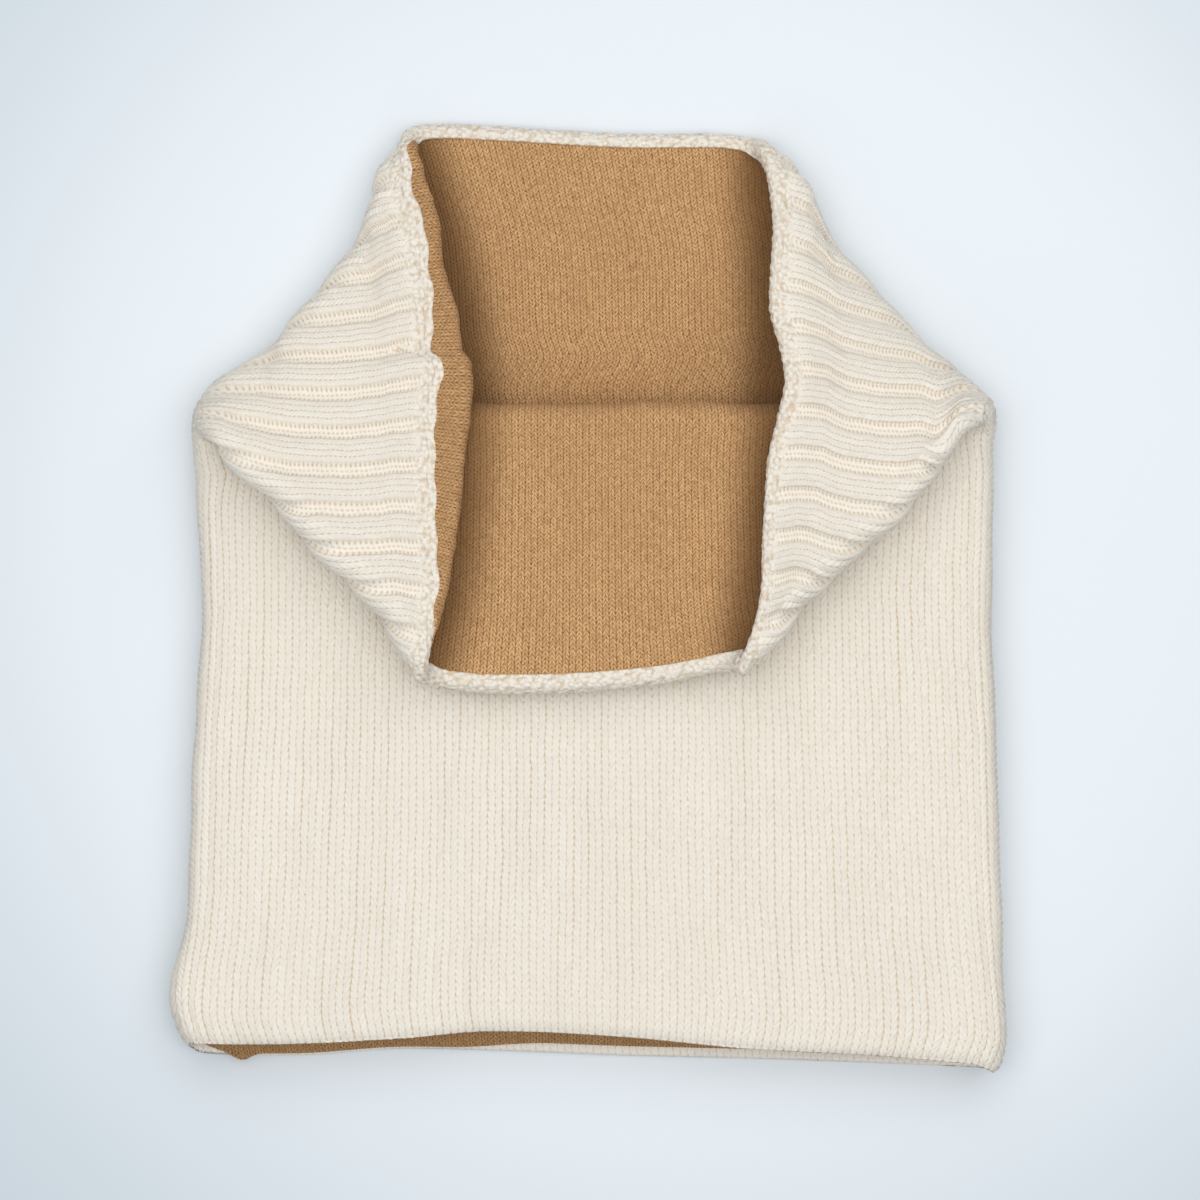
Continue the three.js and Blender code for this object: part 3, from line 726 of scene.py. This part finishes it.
HEM_INSET = 2.8  # the lining ends this far inside the hem
HEM_DROP = 2.3  # and this much lower on the back wall's left part
HEM_DROP_FADES = (-45, -10)
HEM_LUMP = 2.4
HEM_LUMP_X = -110.5
HEM_LUMP_WIDTH = 4.2
BACK_ENDS = (0.21, 0.24)  # shares of the loop from the back's middle where the back wall's hem ends
LIP_ROWS = 16
LIP_OVERLAP = 1.35  # the lining ends this far inside the cream at the seam
LIP_LEAST = 0.6
LIP_THINNER = 1.1  # where the lining doesn't roll, its edge hides inside the bead
LIP_PUFF = 0.9
PUFF_PAST_END = 1.2
LIP_UNEVEN = 0.22
LIP_TUCK = 0.8
LIP_RELIEF = 0.8
LIP_RELIEF_VARIES = 0.2
LINING_CAP_ANGLES = np.radians([35, 80, 130])[:, None]
LINING_EDGE = 0.7
LINING_EDGE_RELIEF = 0.3
OUTSIDE_BEFORE_BEAD = 0.8
OUTSIDE_BY_SEAM = 2.4
OUTSIDE_S = -40.0  # the rows of its hidden outer face are close together down to here
OUTSIDE_STEPS = np.concatenate([np.linspace(0, 1, 17), np.linspace(1, 2.3, 8)[1:]])[:, None]
# Painted shade on the lining: full close under the opening's sides, gone further in, and even near the hem
POCKET_SHADE_FULL = 1.0
POCKET_SHADE_GONE = 16.0
HEM_SHADE = 0.35
HEM_SHADE_Y = (-110, -60)
TURNED_SHADE = 0.3  # painted shade on the rolled lip too, deeper on its way into the mouth
TURNED_DEEPER = 0.35
TURNED_FROM = 1.5


def pocket_shade(points):
    """The painted shade on the lining: full close under the sides of the opening, fading inwards, and an
    even painted shade near the hem.
    """
    left, right = (RIM_LOOP.at(np.linspace(top, bottom, 60))
                   for top, bottom in ((TOP_LEFT, BOTTOM_LEFT), (TOP_RIGHT, BOTTOM_RIGHT)))
    left_x, right_x = (np.interp(points[..., 1], side[::-1, 1], side[::-1, 0]) for side in (left, right))
    inward = np.minimum(points[..., 0] - left_x, right_x - points[..., 0])
    by_hem = 1 - ease(*HEM_SHADE_Y, points[..., 1])
    return (1 - ease(POCKET_SHADE_FULL, POCKET_SHADE_GONE, inward)) * (1 - by_hem) + HEM_SHADE * by_hem


def lining_hem(fractions, near_back):
    """s of the lining's end at the hem. On the left of the back wall it peeps out, with one small lump."""
    x = HEM_LOOP.at(fractions)[:, 0]
    on_back = 1 - ease(*BACK_ENDS, near_back)
    drop = HEM_DROP * (1 - ease(*HEM_DROP_FADES, x))
    lump = HEM_LUMP * np.exp(-((x - HEM_LUMP_X) / HEM_LUMP_WIDTH) ** 2)
    return (HEM_S + (HEM_INSET - on_back * (drop + lump)))[None, :]


def lining_lip(cloth, across, fractions, seam):
    """The lining round the bead, and its cut edge: lengths, unevenness, where it ends and both skins."""
    rolled = lip_share(seam)
    ends = np.minimum(seam + LIP_OVERLAP, HALF_ROUND - LIP_LEAST)
    length = HALF_ROUND + (ends - HALF_ROUND) * np.linspace(0, 1, LIP_ROWS + 1)[1:, None]
    ripple = waves(seed=39, count=22, shortest=2.2, longest=9)(across, length)
    puff = np.sin(math.pi * np.clip((HALF_ROUND - length) / (HALF_ROUND - ends + PUFF_PAST_END), 0, 1))
    radius = BEAD_R - LIP_THINNER * (1 - rolled) + rolled * (LIP_PUFF * puff + LIP_UNEVEN * ripple)
    radius = radius + tuck(fractions[None, :], RIM_S) * rolled * LIP_TUCK
    lip = cloth.at(*rim_path(length, radius))
    cap = cloth.at(*rim_cap(ends, radius[-1:], LINING_EDGE, LINING_CAP_ANGLES, -1))
    return length, ripple, ends, lip, cap


def lining_piece():
    every = np.arange(0, LINING_WALES, 1 / WALE_HALVES)
    place = every / LINING_WALES
    near_back, near_front = np.minimum(place, 1 - place), np.abs(place - 0.5)
    seen = (near_back < BACK_SHOWN) | (near_front < FRONT_SHOWN)
    keep = seen | (every == np.floor(every))
    u, fractions, seen = every[keep], place[keep], seen[keep]
    cloth = Cloth(fractions, straight=True)
    across = u[None, :] * LINING_WALE_MM

    courses = int((BEAD_S - LINING_FINE_S) / LINING_COURSE)
    course = (BEAD_S - LINING_FINE_S) / courses
    level = course_levels(courses, COURSE_HALVES)
    crest = (u != np.floor(u))[None, :]
    s = LINING_FINE_S + course * level + np.zeros((1, len(u)))
    height = np.where(crest, CREST_HEIGHT, FURROW_HEIGHT) - COURSE_DIP * ((level * 2) % 2 < 0.5)
    height = np.where(seen, height, LINING_PLAIN_HEIGHT)
    height = uneven(height, LINING_UNEVEN, scatter(31, np.floor(u)[None, :], np.floor(level)))
    swell = LINING_SWELL * waves(seed=35, count=14, shortest=14, longest=60)(across, s)
    aside = LINING_SWAY * waves(seed=37, count=12, shortest=5, longest=40)(across, s)
    face = cloth.at(s, INNER_FACE + LINING_PILE * (1 - height) + swell, aside)

    plain = np.concatenate([np.linspace(0, 1, HEM_ROWS), PLAIN_ROWS])[:, None]
    hem_s = lining_hem(fractions, near_back[keep])
    s_plain = np.where(plain <= 1, hem_s + (LINING_PLAIN_S - hem_s) * plain,
                       LINING_PLAIN_S + (LINING_FINE_S - LINING_PLAIN_S) * (plain - 1))
    panel = cloth.at(s_plain, np.full(s_plain.shape, INNER_FACE + PANEL_SINK))

    seam = seam_at(fractions)[None, :]
    rolled = lip_share(seam)
    length, ripple, ends, lip, cap = lining_lip(cloth, across, fractions, seam)
    back_end = BEAD_S - OUTSIDE_BEFORE_BEAD + np.minimum(0, seam + OUTSIDE_BY_SEAM) * rolled
    s_back = np.maximum(back_end + (OUTSIDE_S - back_end) * OUTSIDE_STEPS, hem_s)
    s_back[-1] = hem_s[0]
    outside = cloth.at(s_back, np.full(s_back.shape, -MID_OUT))

    cap_rows = len(LINING_CAP_ANGLES)
    all_s = np.concatenate([s_plain, s, BEAD_S + HALF_ROUND - length,
                            np.repeat(BEAD_S + HALF_ROUND - ends, cap_rows, 0), s_back])
    stitches = np.stack([np.broadcast_to(u, all_s.shape), all_s / LINING_COURSE], -1)
    relief = np.concatenate([np.full(s_plain.shape, LINING_PLAIN_HEIGHT), height,
                             LIP_RELIEF + LIP_RELIEF_VARIES * ripple,
                             np.full((cap_rows, len(u)), LINING_EDGE_RELIEF),
                             np.full(s_back.shape, LINING_PLAIN_HEIGHT)])
    # Painted shade laid into the colour: in the pocket, near the hem and on the rolled lip
    lip_painted_shade = (TURNED_SHADE + TURNED_DEEPER * ease(TURNED_FROM, HALF_ROUND, length)) * rolled
    painted_shade = np.concatenate([pocket_shade(panel), pocket_shade(face), lip_painted_shade,
                           np.zeros((cap_rows + len(s_back), len(u)))])
    return ring_mesh("lining_knit", np.concatenate([panel, face, lip, cap, outside]), stitches,
                     LINING_WALES, np.clip(relief, 0, RELIEF_TOP), 1.0, 0.0, painted_shade)


# Materials

class Nodes:
    """Short names for building a node tree."""

    def __init__(self, material):
        self.tree = material.node_tree
        self.tree.nodes.clear()

    def add(self, kind, inputs=(), **settings):
        node = self.tree.nodes.new(kind)
        for key, value in settings.items():
            setattr(node, key, value)
        for key, value in dict(inputs).items():
            self.feed(node.inputs[key], value)
        return node

    def feed(self, socket, value):
        if isinstance(value, bpy.types.NodeSocket):
            self.tree.links.new(value, socket)
        else:
            socket.default_value = value

    def attribute(self, name):
        return self.add("ShaderNodeAttribute", attribute_name=name).outputs["Fac"]

    def vector(self, x, y, z):
        return self.add("ShaderNodeCombineXYZ", {"X": x, "Y": y, "Z": z}).outputs["Vector"]

    def math(self, operation, a, b=0.0):
        return self.add("ShaderNodeMath", {0: a, 1: b}, operation=operation).outputs[0]

    def plus(self, a, b):
        return self.math("ADD", a, b)

    def minus(self, a, b):
        return self.math("SUBTRACT", a, b)

    def times(self, a, b):
        return self.math("MULTIPLY", a, b)

    def power(self, a, b):
        return self.math("POWER", a, b)

    def absolute(self, a):
        return self.math("ABSOLUTE", a)

    def between(self, a, b, share):
        """a where share is 0 and b where it is 1."""
        return self.plus(self.times(a, self.minus(1.0, share)), self.times(b, share))

    def span(self, value, low, high, to_low=0.0, to_high=1.0):
        node = self.add("ShaderNodeMapRange", {"Value": value, "From Min": low, "From Max": high,
                                               "To Min": to_low, "To Max": to_high})
        node.interpolation_type = "SMOOTHSTEP"
        return node.outputs["Result"]

    def mix(self, factor, a, b):
        node = self.add("ShaderNodeMix", data_type="RGBA")
        self.feed(node.inputs[0], factor)
        self.feed(node.inputs[6], a)
        self.feed(node.inputs[7], b)
        return node.outputs[2]

    def noise(self, vector, scale, detail, roughness):
        node = self.add("ShaderNodeTexNoise", {"Vector": vector, "Scale": scale, "Detail": detail,
                                               "Roughness": roughness})
        return node.outputs["Fac"]

    def surface(self, shader):
        output = self.add("ShaderNodeOutputMaterial")
        self.tree.links.new(shader.outputs["BSDF"], output.inputs["Surface"])


LEG_END_FLOOR = 0.45
LEG_SLANT = 1.3
KNOT_SCALE = 640.0
TWISTS = 5.0  # turns of the yarn's fibres along one leg
FIBRE_WEAR = 0.30
PATCH_SCALE = 26.0
PATCH_WEAR = 0.20
# how far the mesh's painted shade attribute darkens the colour towards the shade colour
PAINTED_SHADE_SHARE = 0.72
FIBRE_BUMP = 0.5
FLUFF_BUMP = 0.5
YARN_ROUGHNESS = 0.95
YARN_SPECULAR = 0.12
SHEEN_ROUGHNESS = 0.6


def knit_material(name, shade_colour, lit, worn, span, share, rise, cross, furrow, melange, fleck, speckle,
                  depth, sheen):
    """Fuzzy spun yarn, whose legs and their twist follow the stitch map. Its colour has painted shade:
    it runs from the shade colour, low in the pile, to lit on its tops, and span is that range of heights;
    worn is mixed in at random. A share of the height comes from the legs drawn here, the rest from the mesh.
    rise is how many courses a leg climbs across half a wale. cross is how far the legs' ends sink, and so
    take painted shade, furrow how far the wale's edges do, melange how far whole stitches differ, and
    speckle how far the flecks show, whose scale is fleck."""
    material = bpy.data.materials.new(name)
    material.use_nodes = True
    n = Nodes(material)
    relief, legs = n.attribute("relief"), n.attribute("legs")
    stitch = n.add("ShaderNodeUVMap", uv_map="knit").outputs["UV"]
    split = n.add("ShaderNodeSeparateXYZ", {"Vector": stitch})
    u, v = split.outputs["X"], split.outputs["Y"]
    where = n.add("ShaderNodeTexCoord").outputs["Object"]

    d = n.absolute(n.minus(n.times(n.math("FRACT", u), 2.0), 1.0))
    run = n.minus(v, n.times(d, rise))
    round_leg = n.power(n.math("SINE", n.times(n.math("FRACT", run), math.pi)), 0.5)
    end = n.power(n.absolute(n.minus(n.times(d, 2.0), 1.0)), 4.0)
    wale_edge = n.times(n.power(d, 5.0), furrow)
    along = n.plus(n.times(round_leg, cross), 1.0 - cross)
    leg = n.between(along, n.times(round_leg, LEG_END_FLOOR), end)
    leg = n.times(leg, n.minus(1.0, wale_edge))
    knots = n.attribute("knots")
    cells = n.add("ShaderNodeTexVoronoi", {"Vector": where, "Scale": KNOT_SCALE, "Randomness": 0.9})
    lumps = n.span(cells.outputs["Distance"], 0.75, 0.15)
    leg = n.between(n.between(relief, lumps, knots), leg, legs)

    half = n.math("FLOOR", n.times(u, 2.0))
    one = n.vector(half, n.math("FLOOR", run), 0.5)
    own = n.add("ShaderNodeTexWhiteNoise", {"Vector": one}, noise_dimensions="3D").outputs["Value"]
    twist = n.vector(n.times(run, TWISTS), n.plus(n.times(d, LEG_SLANT), run), half)
    fibre = n.noise(twist, scale=1.6, detail=4.0, roughness=0.62)
    fluff = n.noise(where, scale=fleck, detail=4.0, roughness=0.68)
    patch = n.noise(where, scale=PATCH_SCALE, detail=3.0, roughness=0.6)

    # Painted shade by height: where the pile is low the colour goes from lit towards the shade colour
    depth_in = n.plus(n.times(relief, 1 - share), n.times(leg, share))
    depth_in = n.plus(depth_in, n.times(n.minus(fluff, 0.5), speckle))
    colour = n.mix(n.span(depth_in, *span), shade_colour, lit)
    for pattern, low, high, most in ((own, 0.1, 1.0, melange), (fibre, 0.35, 0.72, FIBRE_WEAR),
                                     (patch, 0.3, 0.75, PATCH_WEAR)):
        colour = n.mix(n.span(pattern, low, high, 0.0, most), colour, worn)
    # Painted shade from the mesh's painted shade attribute, darkening towards the shade colour
    colour = n.mix(n.times(n.attribute("painted_shade"), PAINTED_SHADE_SHARE), colour, shade_colour)

    height = n.plus(leg, n.plus(n.times(fibre, FIBRE_BUMP), n.times(fluff, FLUFF_BUMP)))
    bump = n.add("ShaderNodeBump", {"Height": height, "Strength": 1.0, "Distance": depth})
    n.surface(n.add("ShaderNodeBsdfPrincipled", {
        "Base Color": colour, "Roughness": YARN_ROUGHNESS, "Normal": bump.outputs["Normal"],
        "Specular IOR Level": YARN_SPECULAR, "Sheen Weight": sheen, "Sheen Roughness": SHEEN_ROUGHNESS}))
    return material


# The first colour of each yarn is the painted shade of its hollows
cream = knit_material("cream_yarn", shade_colour=(0.64, 0.475, 0.30, 1), lit=(0.965, 0.905, 0.81, 1),
                      worn=(0.89, 0.815, 0.695, 1), span=(0.08, 0.62), share=0.5, rise=1.5, cross=0.45,
                      furrow=0.12, melange=0.12, fleck=1500.0, speckle=0.7, depth=0.0004, sheen=0.10)
camel = knit_material("camel_yarn", shade_colour=(0.17, 0.075, 0.022, 1), lit=(0.95, 0.57, 0.27, 1),
                      worn=(0.44, 0.225, 0.09, 1), span=(0.06, 0.92), share=0.85, rise=1.0, cross=0.9,
                      furrow=0.40, melange=0.35, fleck=1500.0, speckle=1.8, depth=0.0004, sheen=0.03)

body = body_piece()
cuff = cuff_piece()
lining = lining_piece()
for piece, material, slot, node in ((body, cream, "cream_knit", "outer_body"),
                                    (cuff, cream, "cream_rib", "rib_cuff"),
                                    (lining, camel, "camel_knit", "lining")):
    piece.data.materials.append(material)
    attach(piece, "root")
    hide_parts(node)


# Floor, light and camera

FLOOR_REACH = 2.5
# Painted light on the floor: a pale pool round a spot, darkening to painted shade further out
FLOOR_IN_PAINTED_LIGHT = (0.80, 0.845, 0.885, 1)
FLOOR_IN_PAINTED_SHADE = (0.58, 0.645, 0.695, 1)
PAINTED_LIGHT_SPOT = (0.03, 0.02, 0)
PAINTED_LIGHT_FADES = (0.15, 0.33)  # distances from the spot of painted light between which the floor fades to painted shade


def floor_material():
    material = bpy.data.materials.new("pale_table_with_painted_light")
    material.use_nodes = True
    n = Nodes(material)
    place = n.add("ShaderNodeTexCoord").outputs["Object"]
    spot = n.add("ShaderNodeVectorMath", {0: place, 1: PAINTED_LIGHT_SPOT}, operation="SUBTRACT").outputs["Vector"]
    away = n.add("ShaderNodeVectorMath", {0: spot}, operation="LENGTH").outputs["Value"]
    # painted pool of light, fading to painted shade away from the spot
    colour = n.mix(n.span(away, *PAINTED_LIGHT_FADES), FLOOR_IN_PAINTED_LIGHT, FLOOR_IN_PAINTED_SHADE)
    n.surface(n.add("ShaderNodeBsdfPrincipled", {
        "Base Color": colour, "Roughness": 0.9, "Specular IOR Level": 0.1}))
    return material


def floor():
    mesh = bpy.data.meshes.new("floor")
    corners = [(x * FLOOR_REACH, y * FLOOR_REACH, 0) for x, y in ((-1, -1), (1, -1), (1, 1), (-1, 1))]
    mesh.from_pydata(corners, [], [(0, 1, 2, 3)])
    mesh.materials.append(floor_material())
    sheet = bpy.data.objects.new("floor", mesh)
    bpy.context.scene.collection.objects.link(sheet)


def area_light(name, place, target, size, power, colour):
    data = bpy.data.lights.new(name, "AREA")
    data.shape = "SQUARE"
    data.size = size
    data.energy = power
    data.color = colour
    lamp = bpy.data.objects.new(name, data)
    bpy.context.scene.collection.objects.link(lamp)
    lamp.location = place
    aim = Vector(target) - Vector(place)
    lamp.rotation_euler = aim.to_track_quat("-Z", "Y").to_euler()


floor()
area_light("key", (0.1, 0.4, 1.2), (0, 0, 0), size=2.2, power=17, colour=(1.0, 0.995, 0.985))
area_light("fill", (-0.2, -0.5, 1.2), (0, 0, 0), size=2.0, power=7, colour=(0.98, 0.99, 1.0))
world = bpy.data.worlds.new("studio")
world.use_nodes = True
background = world.node_tree.nodes["Background"]
background.inputs["Color"].default_value = (0.93, 0.965, 1.0, 1)
background.inputs["Strength"].default_value = 0.34
bpy.context.scene.world = world

VIEW_HEIGHT = 2.6
VIEW_PLANE = 0.012
FRAME_WIDTH = 0.378
VIEW_CENTRE = (0.0038, -0.0003)
SENSOR_WIDTH = 36
camera_data = bpy.data.cameras.new("camera")
camera_data.sensor_width = SENSOR_WIDTH
camera_data.lens = SENSOR_WIDTH * VIEW_HEIGHT / FRAME_WIDTH
camera_data.clip_start = 0.05
camera = bpy.data.objects.new("camera", camera_data)
bpy.context.scene.collection.objects.link(camera)
camera.location = (*VIEW_CENTRE, VIEW_HEIGHT + VIEW_PLANE)
bpy.context.scene.camera = camera
bpy.context.scene.view_settings.view_transform = "Standard"
